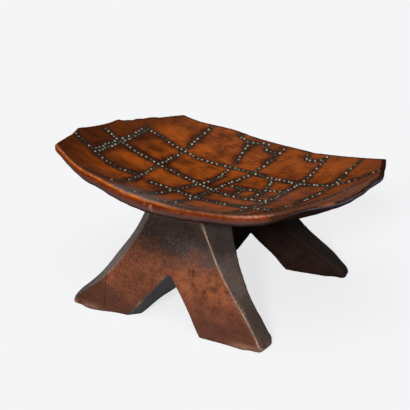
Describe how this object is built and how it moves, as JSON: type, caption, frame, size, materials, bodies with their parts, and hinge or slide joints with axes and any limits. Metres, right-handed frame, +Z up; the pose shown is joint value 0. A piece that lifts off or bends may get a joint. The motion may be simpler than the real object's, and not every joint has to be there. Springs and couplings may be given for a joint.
{
  "type": "stool",
  "caption": "Low dished wooden stool on two splayed trestle legs, carved from a single block, its seat studded with crossing lines of brass tacks.",
  "frame": {"origin": "on the floor, under the middle of the seat", "axes": "+X along the seat's length, +Y from the front long edge to the back one, +Z up"},
  "size_m": [0.46, 0.3258, 0.199],
  "materials": {
    "carved_wood": "handled dark hardwood, polished by use on the seat, worn pale along its edges",
    "tack_brass": "dulled brass, worn grey on the crowns"
  },
  "bodies": {
    "root": {"carved_body": "carved_wood", "tacks_cross_row_1_inner": "tack_brass", "tacks_cross_row_1_outer": "tack_brass", "tacks_cross_row_2": "tack_brass", "tacks_cross_row_2_hook": "tack_brass", "tacks_cross_row_3": "tack_brass", "tacks_cross_row_3_fork_left": "tack_brass", "tacks_cross_row_3_fork_right": "tack_brass", "tacks_cross_row_4": "tack_brass", "tacks_cross_row_4_hook": "tack_brass", "tacks_cross_row_5": "tack_brass", "tacks_cross_row_5_hook": "tack_brass", "tacks_cross_row_6": "tack_brass", "tacks_cross_row_7": "tack_brass", "tacks_front_rim_row": "tack_brass", "tacks_long_row_back": "tack_brass", "tacks_long_row_front_left": "tack_brass", "tacks_long_row_front_right": "tack_brass", "tacks_long_row_middle": "tack_brass", "tacks_panel_row_cross": "tack_brass", "tacks_panel_row_long": "tack_brass", "tacks_panel_row_short": "tack_brass"}
  },
  "joints": []
}
